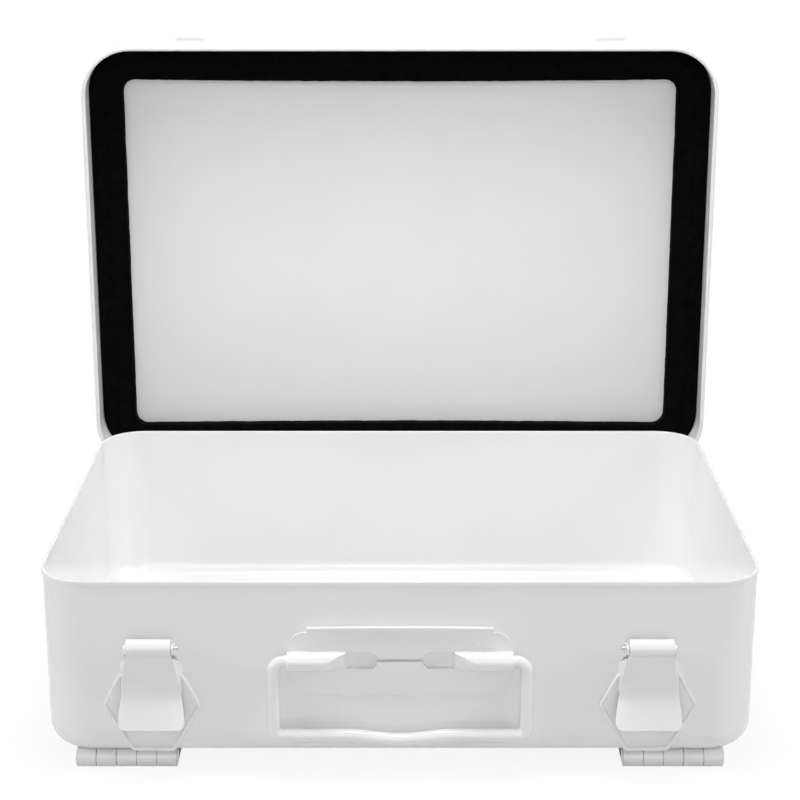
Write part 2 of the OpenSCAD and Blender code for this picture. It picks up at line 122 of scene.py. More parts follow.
class FirstAidBoxSizes(bpy.types.PropertyGroup):
    """Sizes of the sheet metal, wire and foam."""
    sheet: length("Sheet", "Thickness of the pressed sheet", 1.0)
    plate: length("Plate", "Thickness of hinge leaves and latch plates", 1.2)
    rim_wide: length("Rim width", "Thickness of the rolled rim", 2.4)
    rim_tall: length("Rim height", "Height of the rolled rim", 3.0)
    tray_corner: length("Tray corner", "Plan radius of the base over its rim", 25.0)
    tray_edge: length("Tray edge", "Radius between the base's walls and its floor", 13.0)
    lid_corner: length("Lid corner", "Plan radius of the lid", 30.0)
    lid_edge: length("Lid edge", "Radius between the lid's walls and its panel", 4.0)
    seal_width: length("Seal width", "Width of the foam seal", 20.8)
    loop_wire: length("Loop wire", "Radius of the latch loops' wire", 1.0)
    bail_wire: length("Bail wire", "Radius of the carrying handle's wire", 3.2)
    lever_sheet: length("Lever sheet", "Thickness of the latch levers", 1.0)
    bracket_sheet: length("Handle plate", "Thickness of the plate that carries the handle", 1.6)
    cut_edge: length("Cut edge", "Rounding of the cut edges of sheet and plate", 0.25)


class FirstAidBoxColours(bpy.types.PropertyGroup):
    """Colours of the finishes."""
    enamel: colour("Enamel", "White stove enamel on the pressed steel", "F5F5F5")
    enamel_thin: colour("Thin enamel", "Where the enamel lies thinner", "EEEEEE")
    wire: colour("Wire enamel", "White enamel on wire and small hardware", "F1F1F1")
    steel: colour("Steel", "Bare zinc-plated steel of the pins", "B9BAB8")
    foam: colour("Foam", "Black closed-cell foam", "060606")
    floor: colour("Floor", "Pale floor under the box", "FAFAFA")
    floor_dim: colour("Floor bounce", "How bright the floor is to the light that it throws back", "E2E2E2")


# ---------------------------------------------------------------- materials

def add_node(tree, kind, inputs=None, **settings):
    """Adds one shader node. An input is a value or another node's socket."""
    made = tree.nodes.new(kind)
    for name, value in settings.items():
        setattr(made, name, value)
    for name, value in (inputs or {}).items():
        if isinstance(value, bpy.types.NodeSocket):
            tree.links.new(value, made.inputs[name])
        else:
            made.inputs[name].default_value = value
    return made


def grain(tree, coords, scale, detail=2.0):
    """Noise from 0 to 1 whose spots are about 1 / scale metres across."""
    return add_node(
        tree, "ShaderNodeTexNoise", {"Vector": coords, "Scale": scale, "Detail": detail}).outputs["Fac"]


def ranged(tree, value, low, high, start=0.0, end=1.0, **settings):
    """Carries the range from start to end over to the one from low to high."""
    return add_node(tree, "ShaderNodeMapRange", {
        "Value": value, "From Min": start, "From Max": end, "To Min": low, "To Max": high},
        **settings).outputs["Result"]


def relief(tree, height, strength, depth, **more):
    """A bump of the surface, its full depth in metres."""
    return add_node(
        tree, "ShaderNodeBump", {"Height": height, "Strength": strength, "Distance": depth, **more}
    ).outputs["Normal"]


def toned(tree, main, factor):
    """A colour made lighter or darker by a factor."""
    return add_node(
        tree, "ShaderNodeHueSaturation", {"Color": (*main, 1), "Value": factor}).outputs["Color"]


def blended(tree, share, first, second):
    """A colour between two others."""
    return add_node(tree, "ShaderNodeMix", {
        "Factor": share, "A": (*first, 1), "B": (*second, 1)}, data_type="RGBA").outputs["Result"]


def computed(tree, operation, first, second):
    """One step of arithmetic between two values."""
    return add_node(tree, "ShaderNodeMath", {0: first, 1: second}, operation=operation).outputs[0]


def seen_rays(tree):
    """1 for rays that show things to the eye, also in a mirror or through glass, and 0 for all others."""
    ray = add_node(tree, "ShaderNodeLightPath").outputs
    seen = computed(tree, "MAXIMUM", ray["Is Camera Ray"], ray["Is Glossy Ray"])
    return computed(tree, "MAXIMUM", seen, ray["Is Transmission Ray"])


def surface(tree, **inputs):
    """The principled shader, its inputs named with underscores."""
    named = {name.replace("_", " "): value for name, value in inputs.items()}
    return add_node(tree, "ShaderNodeBsdfPrincipled", named).outputs["BSDF"]


def stove_enamel(tree, coords, main, thin, roughness):
    """Stove enamel on pressed sheet steel: sprayed and baked, so glossy white with a faint orange peel."""
    # the film's thickness drifts over some 60 mm and shows as a barely greyer white
    drift = grain(tree, coords, 16.0)
    tone = blended(tree, drift, main, thin)
    # orange peel is about 1 mm across, drawn at 1.6 mm so that it shows at this distance
    peel = grain(tree, coords, 620.0, 1.0)
    # pressed sheet is never quite flat: hollows some 120 mm across, up to a tenth of a millimetre deep
    hollows = grain(tree, coords, 8.0, 0.0)
    wavy = relief(tree, hollows, 0.5, 0.0004)
    skin = relief(tree, peel, 0.1, 0.00005, Normal=wavy)
    gloss = ranged(tree, drift, roughness - 0.03, roughness + 0.04)
    return surface(tree, Base_Color=tone, Roughness=gloss, Normal=skin, IOR=1.5)


def enamelled_wire(tree, coords, main):
    """Drawn steel wire under a dipped white enamel: softer in gloss than the sheet, with faint runs."""
    # the runs are some 11 mm long
    drift = grain(tree, coords, 90.0)
    tone = toned(tree, main, ranged(tree, drift, 0.94, 1.02))
    runs = relief(tree, drift, 0.15, 0.0002)
    gloss = ranged(tree, drift, 0.16, 0.27)
    return surface(tree, Base_Color=tone, Roughness=gloss, Normal=runs, IOR=1.5)


def plated_steel(tree, coords, main):
    """Cut and zinc-plated steel rod: a soft grey metal with fine turning rings."""
    # the plating's spots are about a millimetre wide
    spots = grain(tree, coords, 900.0, 3.0)
    tone = toned(tree, main, ranged(tree, spots, 0.82, 1.08))
    # turning rings lie across the rod, about a millimetre apart
    rings = add_node(tree, "ShaderNodeTexWave", {
        "Vector": coords, "Scale": 320.0, "Distortion": 1.5}, bands_direction="X").outputs["Fac"]
    ridges = relief(tree, rings, 0.2, 0.00005)
    gloss = ranged(tree, spots, 0.28, 0.46)
    return surface(tree, Base_Color=tone, Metallic=1.0, Roughness=gloss, Normal=ridges)


def cell_foam(tree, coords, main):
    """Closed-cell polyethylene foam cut from a sheet: matt black with pores about a millimetre wide."""
    pores = add_node(tree, "ShaderNodeTexVoronoi", {"Vector": coords, "Scale": 900.0}).outputs["Distance"]
    # dust lies on it in spots some 4 mm wide
    dust = grain(tree, coords, 260.0, 4.0)
    tone = toned(tree, main, ranged(tree, dust, 0.6, 1.9, 0.35, 0.8))
    pits = relief(tree, pores, 0.5, 0.0004)
    return surface(tree, Base_Color=tone, Normal=pits, Roughness=0.92, Specular_IOR_Level=0.05)


def studio_floor(tree, coords, main, dim):
    """Pale seamless floor: it keeps the box's shadow near the box and is plain white farther out."""
    # its roughness drifts over some 170 mm
    rough = ranged(tree, grain(tree, coords, 6.0), 0.9, 1.0)
    seen = seen_rays(tree)
    # the floor is near white to the eye, and a light grey to the light that it throws back up
    paint = blended(tree, seen, dim, main)
    shaded = add_node(tree, "ShaderNodeBsdfDiffuse", {"Color": paint, "Roughness": rough}).outputs[0]
    white = add_node(tree, "ShaderNodeEmission", {"Color": WHITE, "Strength": 1.0}).outputs[0]
    # an eighth of its shading shows up to 0.2 m to each side of the middle and none from 0.36 m on,
    # and in depth a quarter less far
    plan = add_node(
        tree, "ShaderNodeVectorMath", {0: coords, 1: (1.0, 1.35, 0.0)}, operation="MULTIPLY").outputs[0]
    reach = add_node(tree, "ShaderNodeVectorMath", {0: plan}, operation="LENGTH").outputs["Value"]
    far = ranged(tree, reach, 0.88, 1.0, 0.2, 0.36, interpolation_type="SMOOTHSTEP")
    share = computed(tree, "MULTIPLY", seen, far)
    return add_node(tree, "ShaderNodeMixShader", {0: share, 1: shaded, 2: white}).outputs[0]


FINISH = {}
# The slot of the record that each finish stands for.
SLOT_OF = {
    "sheet": "white_paint", "hardware": "white_paint", "wire": "wire", "steel": "steel", "foam": "foam"}


def make_finishes(colours):
    """Makes every material: its name, the function that fills its tree, and what that function takes."""
    for finish, name, filled, *values in (
            ("sheet", "stove_enamel_on_sheet", stove_enamel, colours.enamel, colours.enamel_thin, 0.16),
            ("hardware", "stove_enamel_on_hardware", stove_enamel, colours.wire, colours.enamel_thin, 0.23),
            ("wire", "dipped_enamel_on_wire", enamelled_wire, colours.wire),
            ("steel", "zinc_plated_rod", plated_steel, colours.steel),
            ("foam", "closed_cell_foam", cell_foam, colours.foam),
            ("floor", "studio_floor", studio_floor, colours.floor, colours.floor_dim)):
        made = bpy.data.materials.new(name)
        made.use_nodes = True
        tree = made.node_tree
        tree.nodes.clear()
        out = add_node(tree, "ShaderNodeOutputMaterial")
        coords = add_node(tree, "ShaderNodeTexCoord").outputs["Object"]
        tree.links.new(filled(tree, coords, *values), out.inputs["Surface"])
        FINISH[finish] = made


# ---------------------------------------------------------------- shaping

def new_piece(name, bm, finish, body, *nodes, crease=22):
    """Makes a finished bmesh a piece: shaded, painted, riding on its body and standing for its nodes."""
    bm.normal_update()
    mesh = bpy.data.meshes.new(name)
    for edge in bm.edges:
        edge.smooth = len(edge.link_faces) != 2 or edge.calc_face_angle() < math.radians(crease)
    for face in bm.faces:
        face.smooth = True
    bm.to_mesh(mesh)
    bm.free()
    made = bpy.data.objects.new(name, mesh)
    bpy.context.scene.collection.objects.link(made)
    # flat faces stay flat to the eye next to their rounded edges
    levelled = made.modifiers.new("level_faces", "WEIGHTED_NORMAL")
    levelled.mode, levelled.weight, levelled.keep_sharp = "FACE_AREA", 100, True
    mesh.materials.append(FINISH[finish])
    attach(made, body)
    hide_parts(*nodes)
    return made


def mm(radii):
    """Radii by index, given in millimetres."""
    return {index: radius * MM for index, radius in radii.items()}


def close_up(bm, gap=WELDED):
    """Welds coincident points and turns every face outwards."""
    bmesh.ops.remove_doubles(bm, verts=bm.verts[:], dist=gap)
    bmesh.ops.recalc_face_normals(bm, faces=bm.faces[:])


def points_in(geom):
    return [g for g in geom if isinstance(g, bmesh.types.BMVert)]


def edges_among(bm, verts):
    kept = set(verts)
    return [e for e in bm.edges if e.verts[0] in kept and e.verts[1] in kept]


def border(bm, test):
    """The open edges whose two ends both pass a test."""
    return [e for e in bm.edges if e.is_boundary and all(test(v.co) for v in e.verts)]


def line(bm, points, arcs=None, steps=6, closed=False):
    """Draws a line through points and rounds the corners that arcs names: {index: radius}."""
    kept = set(bm.verts)
    points = [Vector(p) for p in points]
    drawn = [bm.verts.new(p) for p in points]
    for pair in zip(drawn, drawn[1:] + drawn[:1] if closed else drawn[1:]):
        bm.edges.new(pair)
    for index, radius in (arcs or {}).items():
        here = points[index]
        turn = (here - points[index - 1]).angle(points[(index + 1) % len(points)] - here)
        bmesh.ops.bevel(
            bm, geom=[drawn[index]], offset=radius * math.tan(turn / 2), offset_type="OFFSET",
            segments=max(2, round(steps * turn / (math.pi / 2))), profile=0.5, affect="VERTICES",
            material=-1)
    return [v for v in bm.verts if v not in kept]


def flat_sheet(bm):
    """Fills the outlines drawn so far and leaves the ones inside them open."""
    bmesh.ops.triangle_fill(bm, use_beauty=True, use_dissolve=False, edges=bm.edges[:])


def drawn_out(bm, edges, vec):
    """Carries a sheet on from some of its edges and gives its new border."""
    verts = points_in(bmesh.ops.extrude_edge_only(bm, edges=edges)["geom"])
    bmesh.ops.translate(bm, verts=verts, vec=vec)
    return edges_among(bm, verts)


def curled(bm, edges, centre, axis, angle, steps):
    """Bends a sheet on from some of its edges about a line and gives its new border."""
    verts = list({v for e in edges for v in e.verts})
    last = bmesh.ops.spin(
        bm, geom=verts + edges, cent=centre, axis=axis, dvec=NOWHERE, angle=angle, steps=steps,
        use_merge=False, use_duplicate=False)["geom_last"]
    return edges_among(bm, points_in(last))


def swept_round_rectangle(bm, verts, half_x, half_y, radius, centre, steps=14):
    """Carries a profile from the middle of the +X side once round a rectangle with round corners."""
    edges = edges_among(bm, verts)
    flat_x, flat_y = half_x - radius, half_y - radius
    bmesh.ops.translate(bm, verts=verts, vec=(0, -flat_y, 0))
    for quarter in range(4):
        heading = Matrix.Rotation(quarter * math.pi / 2, 3, "Z") @ Y
        pivot = Vector((flat_x * (1 if quarter in (0, 3) else -1), flat_y * (1 if quarter < 2 else -1), 0))
        edges = drawn_out(bm, edges, heading * 2 * (flat_y if quarter % 2 == 0 else flat_x))
        edges = curled(bm, edges, pivot, Z, math.pi / 2, steps)
    bmesh.ops.remove_doubles(bm, verts=bm.verts[:], dist=WELDED)
    bmesh.ops.translate(bm, verts=bm.verts[:], vec=centre)


def fill_rings(bm):
    """Closes every open ring of edges with a flat face."""
    bmesh.ops.edgeloop_fill(bm, edges=[e for e in bm.edges if e.is_boundary])


def thickened(bm, thickness, cut_edge, segments=2):
    """Gives a sheet its thickness, half to each side, and rounds its cut edges."""
    close_up(bm)
    mesh = bpy.data.meshes.new("sheet")
    bm.to_mesh(mesh)
    bm.free()
    held = bpy.data.objects.new("sheet", mesh)
    bpy.context.scene.collection.objects.link(held)
    solid = held.modifiers.new("thickness", "SOLIDIFY")
    solid.thickness, solid.offset, solid.use_even_offset = thickness, 0, True
    rounded = held.modifiers.new("cut_edge", "BEVEL")
    rounded.width, rounded.segments, rounded.limit_method, rounded.angle_limit = (
        cut_edge, segments, "ANGLE", math.radians(50))
    made = bmesh.new()
    made.from_object(held, bpy.context.evaluated_depsgraph_get())
    bpy.data.objects.remove(held)
    bpy.data.meshes.remove(mesh)
    return made


def joined(whole, part):
    """Adds one bmesh to another."""
    mesh = bpy.data.meshes.new("part")
    part.to_mesh(mesh)
    part.free()
    whole.from_mesh(mesh)
    bpy.data.meshes.remove(mesh)
    return whole


def placed(bm, side, at, row=-1):
    """Mirrors a shape made for the left side and the front row to where it belongs, and moves it there."""
    bmesh.ops.scale(bm, vec=(-side, -row, 1), verts=bm.verts[:])
    bmesh.ops.recalc_face_normals(bm, faces=bm.faces[:])
    bmesh.ops.translate(bm, verts=bm.verts[:], vec=at)
    return bm


def turned_on_x(profile, at, arcs=None, steps=32):
    """Turns an outline of (x, radius) points once round a line along X."""
    bm = bmesh.new()
    verts = line(bm, [(x, 0, radius) for x, radius in profile], arcs, steps=4)
    bmesh.ops.spin(
        bm, geom=verts + edges_among(bm, verts), cent=NOWHERE, axis=X, dvec=NOWHERE, angle=2 * math.pi,
        steps=steps, use_merge=True, use_duplicate=False)
    close_up(bm)
    bmesh.ops.translate(bm, verts=bm.verts[:], vec=at)
    return bm


def drawn_wire(points, bends, radius, sides=20, closed=False):
    """Draws round wire through points, its bends in millimetres and none at an open wire's ends."""
    bm = bmesh.new()
    points = [Vector(p) for p in points]
    start = (points[-1] + points[0]) / 2 if closed else points[0]
    end = start if closed else points[-1]
    corners = [(points[i - 1], points[i], points[(i + 1) % len(points)], bend * MM)
               for i, bend in enumerate(bends, 0 if closed else 1)]
    heading = (corners[0][1] - start).normalized()
    ring = bmesh.ops.create_circle(
        bm, cap_ends=False, segments=sides, radius=radius,
        matrix=Matrix.Translation(start) @ heading.to_track_quat("Z", "Y").to_matrix().to_4x4())["verts"]
    edges, here = edges_among(bm, ring), start
    for before, corner, after, bend in corners:
        inward, onward = (corner - before).normalized(), (after - corner).normalized()
        turn = inward.angle(onward)
        meets = corner - inward * bend * math.tan(turn / 2)
        edges = drawn_out(bm, edges, meets - here)
        pivot = meets + (onward - inward * inward.dot(onward)).normalized() * bend
        axis = inward.cross(onward).normalized()
        edges = curled(bm, edges, pivot, axis, turn, max(3, round(turn / 0.14)))
        here = corner + onward * bend * math.tan(turn / 2)
    drawn_out(bm, edges, end - here)
    if closed:
        close_up(bm, 1e-5)
        return bm
    fill_rings(bm)
    close_up(bm)
    rims = [e for e in bm.edges if len(e.link_faces) == 2 and e.calc_face_angle() > 1.2]
    bmesh.ops.bevel(
        bm, geom=rims, offset=radius * 0.25, offset_type="OFFSET", segments=2, profile=0.5, affect="EDGES",
        material=-1)
    return bm


def weld_mark(bm, at, facing=Y, radius=2.4, height=0.3):
    """Presses up the low round mark that a spot weld leaves on a plate facing a way."""
    flat = Vector((1, 1, 1)) - facing * (1 - height / radius)
    bmesh.ops.create_uvsphere(
        bm, u_segments=20, v_segments=10, radius=radius * MM,
        matrix=Matrix.Translation(at) @ Matrix.Diagonal((*flat, 1)))


def weld_row(bm, y, z, facing=Y):
    """Three weld marks across a leaf."""
    for x in (-17, 0, 17):
        weld_mark(bm, (x * MM, y, z), facing)


def knuckle_stations(length_x):
    """The ends of five equal knuckles along X, as ten places."""
    wide = (length_x - 4 * KNUCKLE_GAP) / 5
    return [-length_x / 2 + k * (wide + KNUCKLE_GAP) + part for k in range(5) for part in (0, wide)]


def flat_leaf(stations, tail, split, corner=None):
    """A leaf's flat: a plain tail edge and an edge split at the knuckles' ends, both placed by (y, z)."""
    bm = bmesh.new()
    line(bm, [(stations[0], *tail), (stations[-1], *tail), *[(x, *split) for x in reversed(stations)]],
         {0: corner, 1: corner} if corner else None, closed=True)
    return bm


def roll_knuckles(bm, edges, stations, kept, lead, centre, angle):
    """Carries the sheet on at the kept knuckles only and rolls it round the pin."""
    spans = [(stations[2 * k], stations[2 * k + 1]) for k in kept]
    chosen = [e for e in edges if any(a < (e.verts[0].co.x + e.verts[1].co.x) / 2 < b for a, b in spans)]
    chosen = drawn_out(bm, chosen, lead)
    curled(bm, chosen, centre, X, angle, 26)


def headed_pin(long, radius, head, height, at):
    """A rod with a low domed head on each end."""
    end = long / 2 + 0.1 * MM
    tip = end + height
    profile = [
        (-tip, 0), (-tip, head), (-end, head), (-end, radius),
        (end, radius), (end, head), (tip, head), (tip, 0)]
    return turned_on_x(profile, at, {1: 0.75 * height, 6: 0.75 * height}, steps=28)


# ---------------------------------------------------------------- pieces

class BuildTray(bpy.types.Operator):
    """Pressed base tray with a rolled rim"""
    bl_idname = "first_aid_box.tray"
    bl_label = "Base tray"

    def execute(self, context):
        s = context.scene.first_aid_box_sizes
        half_x, half_y = (TRAY_HIGH.x - TRAY_LOW.x) / 2, (TRAY_HIGH.y - TRAY_LOW.y) / 2
        foot, top = TRAY_LOW.z, TRAY_HIGH.z
        outer, inner = half_x - WALL_STEP, half_x - WALL_STEP - s.sheet
        flat = outer - s.tray_edge
        hem = top - s.rim_tall
        bm = bmesh.new()
        verts = line(bm, [
            (flat, 0, foot), (outer, 0, foot), (outer, 0, hem), (half_x, 0, hem), (half_x, 0, top),
            (inner, 0, top), (inner, 0, foot + s.sheet), (flat, 0, foot + s.sheet)],
            {1: s.tray_edge - HAIR, **mm({3: 0.4, 4: 1.0, 5: 0.6}), 6: s.tray_edge - s.sheet - HAIR},
            steps=8)
        swept_round_rectangle(bm, verts, half_x, half_y, s.tray_corner, (0, MID_Y, 0))
        fill_rings(bm)
        close_up(bm)
        new_piece("tray", bm, "sheet", "base", "base_tray")
        return {"FINISHED"}


class BuildLid(bpy.types.Operator):
    """Pressed lid with a rolled rim, swung open"""
    bl_idname = "first_aid_box.lid"
    bl_label = "Lid"

    def execute(self, context):
        s = context.scene.first_aid_box_sizes
        half_x, half_y = (LID_HIGH.x - LID_LOW.x) / 2, (LID_HIGH.z - LID_LOW.z) / 2
        rim, top = SHUT_RIM_Z, SHUT_RIM_Z + LID_HIGH.y - LID_LOW.y
        inner, bead = half_x - s.sheet, half_x - s.rim_wide
        flat = half_x - s.lid_edge
        bm = bmesh.new()
        verts = line(bm, [
            (flat, 0, top), (half_x, 0, top), (half_x, 0, rim), (bead, 0, rim), (bead, 0, rim + s.rim_tall),
            (inner, 0, rim + s.rim_tall), (inner, 0, top - s.sheet), (flat, 0, top - s.sheet)],
            {1: s.lid_edge - HAIR, **mm({2: 1.15, 3: 1.15, 4: 0.5}), 6: s.lid_edge - s.sheet - HAIR},
            steps=8)
        swept_round_rectangle(bm, verts, half_x, half_y, s.lid_corner, (0, MID_Y, 0))
        fill_rings(bm)
        bmesh.ops.transform(bm, matrix=SWUNG_OPEN, verts=bm.verts[:])
        close_up(bm)
        new_piece("lid_cover", bm, "sheet", "lid", "lid_shell")
        return {"FINISHED"}


class BuildSeal(bpy.types.Operator):
    """Frame of black foam glued into the lid"""
    bl_idname = "first_aid_box.seal"
    bl_label = "Foam seal"

    def execute(self, context):
        s = context.scene.first_aid_box_sizes
        low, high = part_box("lid_gasket")
        half_x, half_y = (high.x - low.x) / 2, (high.z - low.z) / 2
        face, back = SHUT_RIM_Z + low.y - LID_LOW.y, SHUT_RIM_Z + high.y - LID_LOW.y
        inner = half_x - s.seal_width
        # the base's rim has pressed a shallow line into the foam
        dent, dented = half_x - 7.5 * MM, face + 0.4 * MM
        bm = bmesh.new()
        verts = line(bm, [
            (inner, 0, back), (inner, 0, face), (dent - 2.4 * MM, 0, face), (dent - 1.4 * MM, 0, dented),
            (dent + 0.6 * MM, 0, dented), (dent + 1.6 * MM, 0, face), (half_x, 0, face),
            (half_x, 0, back - 3.3 * MM), (half_x - 2.8 * MM, 0, back)],
            mm({1: 0.8, 2: 1.2, 3: 1.0, 4: 1.0, 5: 1.2, 6: 2.0}), steps=5, closed=True)
        swept_round_rectangle(bm, verts, half_x, half_y, s.lid_corner - s.sheet - 0.2 * MM, NOWHERE)
        close_up(bm)
        # the straight sides need points along them to be uneven
        straight = [e for e in bm.edges if e.calc_length() > 0.05]
        bmesh.ops.subdivide_edges(bm, edges=straight, cuts=90, use_grid_fill=True)
        for v in bm.verts:
            self.worn(v, half_x, half_y, inner, face)
        bmesh.ops.translate(bm, verts=bm.verts[:], vec=(0, MID_Y, 0))
        bmesh.ops.transform(bm, matrix=SWUNG_OPEN, verts=bm.verts[:])
        bmesh.ops.recalc_face_normals(bm, faces=bm.faces[:])
        made = new_piece("foam_seal", bm, "foam", "lid", "lid_gasket", crease=50)
        return {"FINISHED"}

    @staticmethod
    def worn(v, half_x, half_y, inner, face):
        """Moves one point of the frame as hand-cut foam lies."""
        bow, waves, rags, swell = 1.2 * MM, 0.18, 0.2, 0.12 * MM
        to_x, to_y = half_x - abs(v.co.x), half_y - abs(v.co.y)
        depth = max(0.0, min(1.0, min(to_x, to_y) / (half_x - inner)))
        if to_y < to_x:
            # the long sides bow towards the window
            inward = Vector((0, -math.copysign(1, v.co.y), 0))
            v.co += inward * depth * bow * (1 - min(1.0, abs(v.co.x) / inner) ** 2)
        else:
            inward = Vector((-math.copysign(1, v.co.x), 0, 0))
        # the knife wanders along the window in waves of 17 mm and rags of 3 mm
        wander = noise.noise(v.co * 60) * waves + noise.noise(v.co * 300) * rags
        v.co += inward * depth ** 3 * wander * MM
        # the skin swells unevenly over some 30 mm
        if v.co.z < face + 1 * MM:
            v.co.z += noise.noise(v.co * 35 + Vector((7, 3, 1))) * swell


class BuildCatches(bpy.types.Operator):
    """Bent catches on the lid that the latch loops pull on"""
    bl_idname = "first_aid_box.catches"
    bl_label = "Lid catches"

    def execute(self, context):
        s = context.scene.first_aid_box_sizes
        for name, side in SIDES.items():
            low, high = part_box(f"{name}_keeper")
            bm = placed(self.catch(s, low, high), side, ((low.x + high.x) / 2, 0, 0))
            bmesh.ops.transform(bm, matrix=SWUNG_OPEN, verts=bm.verts[:])
            new_piece(f"{name}_catch", bm, "hardware", "lid", f"{name}_keeper")
        return {"FINISHED"}

    @staticmethod
    def catch(s, low, high):
        # half widths of the hook and of the plate that it is bent from, and the radii of its two bends
        half, wide, bend, bend_out = 8.75 * MM, 11 * MM, 0.9 * MM, 1.4 * MM
        face = MID_Y - (LID_HIGH.z - LID_LOW.z) / 2
        foot = face - s.plate / 2
        hook = face - (high.z - LID_HIGH.z) + s.plate / 2 + bend_out
        ledge = SHUT_RIM_Z + low.y - LID_LOW.y + s.plate / 2
        top = SHUT_RIM_Z + high.y - LID_LOW.y
        right = [(wide, top), (wide, ledge + 5 * MM), (half, ledge + 3.4 * MM), (half, ledge + 2.2 * MM)]
        left = [(-x, z) for x, z in reversed(right)]
        bm = bmesh.new()
        line(bm, [(x, foot, z) for x, z in left + right],
             mm({1: 1, 2: 0.8, 3: 2, 4: 2, 5: 0.8, 6: 1}), closed=True)
        flat_sheet(bm)
        edges = border(bm, lambda co: co.z < ledge + 2.3 * MM)
        edges = curled(bm, edges, (0, foot - bend, ledge + bend), X, -math.pi / 2, 6)
        edges = drawn_out(bm, edges, (0, hook - (foot - bend), 0))
        edges = curled(bm, edges, (0, hook, ledge + bend_out), X, -math.pi / 2, 5)
        drawn_out(bm, edges, (0, 0, 1.4 * MM))
        # the hooked end narrows a little
        for v in bm.verts:
            hooked = max(0.0, (hook - v.co.y) / bend_out)
            v.co.x *= 1 - 0.1 * hooked ** 2
        return thickened(bm, s.plate, s.cut_edge)


class BuildBracket(bpy.types.Operator):
    """Handle plate with its rolled sleeves, windows and turned-out lip"""
    bl_idname = "first_aid_box.bracket"
    bl_label = "Handle plate"

    def execute(self, context):
        s = context.scene.first_aid_box_sizes
        low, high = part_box("handle_plate")
        axis = JOINT_AT["bail_pivot"]
        half = (high.x - low.x) / 2
        sleeve_end = half - 30 * MM
        face = WALL_Y - s.bracket_sheet / 2
        bm = self.plate(s, low.z, high.z, half, face, sleeve_end, axis.z - 1 * MM)
        for side in SIDES.values():
            bm = joined(bm, placed(self.sleeve(s, half, sleeve_end), -side, axis))
            weld_mark(bm, (side * 38.5 * MM, face - s.bracket_sheet / 2 - 0.15 * MM, axis.z + 7.6 * MM))
        bmesh.ops.recalc_face_normals(bm, faces=bm.faces[:])
        new_piece("handle_bracket", bm, "hardware", "base", "handle_plate")
        return {"FINISHED"}

    @staticmethod
    def plate(s, foot, top, half, face, sleeve_end, window_z):
        bend, lip, steps = 1.6 * MM, 47.5 * MM, 14
        head = top - 3.6 * MM
        fold = top - s.bracket_sheet / 2 - bend
        top_row = [(lip - 2 * lip * k / steps, fold) for k in range(steps + 1)]
        # the lower edge rises towards the corners
        rise, belly = 4.2 * MM, 38 * MM
        outline = [(-half, foot + rise), (-belly, foot), (belly, foot), (half, foot + rise), (half, head),
                   (lip, head), *top_row, (-lip, head), (-half, head)]
        bm = bmesh.new()
        line(bm, [(x, face, z) for x, z in outline], mm({0: 8, 1: 40, 2: 40, 3: 8, 4: 9.4, steps + 8: 9.4}),
             closed=True, steps=9)
        # two windows with a narrow slit between them, mirrored from one quarter
        window, far, slit = 4.85 * MM, 11.9 * MM, 0.95 * MM
        quarter = [(sleeve_end, window), (14.2 * MM, window), (far, 2.4 * MM), (far, slit)]
        back = quarter[::-1]
        outline = [
            (way_x * x, window_z + way_z * z)
            for way_x, way_z, part in ((-1, -1, quarter), (1, -1, back), (1, 1, quarter), (-1, 1, back))
            for x, z in part]
        windows = line(
            bm, [(x, face, z) for x, z in outline],
            {**dict.fromkeys((0, 7, 8, 15), 1 * MM), **dict.fromkeys((1, 6, 9, 14), 0.8 * MM)},
            closed=True, steps=4)
        # the plate is pressed off the wall round its windows
        bmesh.ops.translate(bm, verts=windows, vec=(0, -0.5 * MM, 0))
        flat_sheet(bm)
        edges = border(bm, lambda co: co.z > fold - WELDED)
        edges = curled(bm, edges, (0, face - bend, fold), X, math.pi / 2, 6)
        drawn_out(bm, edges, (0, WALL_Y - 4.8 * MM + s.cut_edge - (face - bend), 0))
        # the lip is pressed up a little in the middle
        for v in bm.verts:
            if v.co.z > fold - WELDED:
                v.co.z += 0.6 * MM * (1 - (v.co.x / lip) ** 2) - 0.3 * MM
        return thickened(bm, s.bracket_sheet, 0.55 * MM, segments=3)

    @staticmethod
    def sleeve(s, half, end):
        mouth, bore, skin = half - 8 * MM, s.bail_wire + 0.05 * MM, 5.15 * MM
        stations = [end + k * 0.8 * MM for k in range(22, -1, -1)]
        bm = turned_on_x([
            (mouth, 0), (mouth, bore), (half, bore), (half, skin), *[(x, skin) for x in stations], (end, 0)],
            NOWHERE, {3: 0.7 * MM}, steps=48)
        # the inner end is pressed down on a slant towards the window, over a soft edge
        slant, soft = Vector((-0.57, -0.7, -0.42)).normalized(), 1.6 * MM
        over = slant.dot((end + 0.3 * MM, -1 * MM, 5 * MM))
        for v in bm.verts:
            past = v.co.dot(slant) - over
            if past > -soft:
                v.co -= slant * (past if past > soft else (past + soft) ** 2 / (4 * soft))
        return bm


class BuildBail(bpy.types.Operator):
    """Carrying handle bent from one thick wire"""
    bl_idname = "first_aid_box.bail"
    bl_label = "Carrying handle"

    def execute(self, context):
        s = context.scene.first_aid_box_sizes
        low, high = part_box("carry_handle")
        axis = JOINT_AT["bail_pivot"]
        leg = (high.x - low.x) / 2 - s.bail_wire
        grip, dip = low.z + s.bail_wire + 3 * MM, low.z + s.bail_wire
        # the ends reach into the sleeves, and the soft V takes up the middle third of the grip
        end, turn = 44.6 * MM, 0.36 * leg
        half = [(-end, axis.z), (-leg, axis.z), (-leg, grip), (-turn, grip)]
        path = half + [(0, dip)] + [(-x, z) for x, z in reversed(half)]
        bm = drawn_wire(
            [(x, axis.y, z) for x, z in path], [5.6, 4.4, 70, 70, 70, 4.4, 5.6], s.bail_wire, sides=32)
        new_piece("bail", bm, "wire", "bail", "carry_handle")
        return {"FINISHED"}


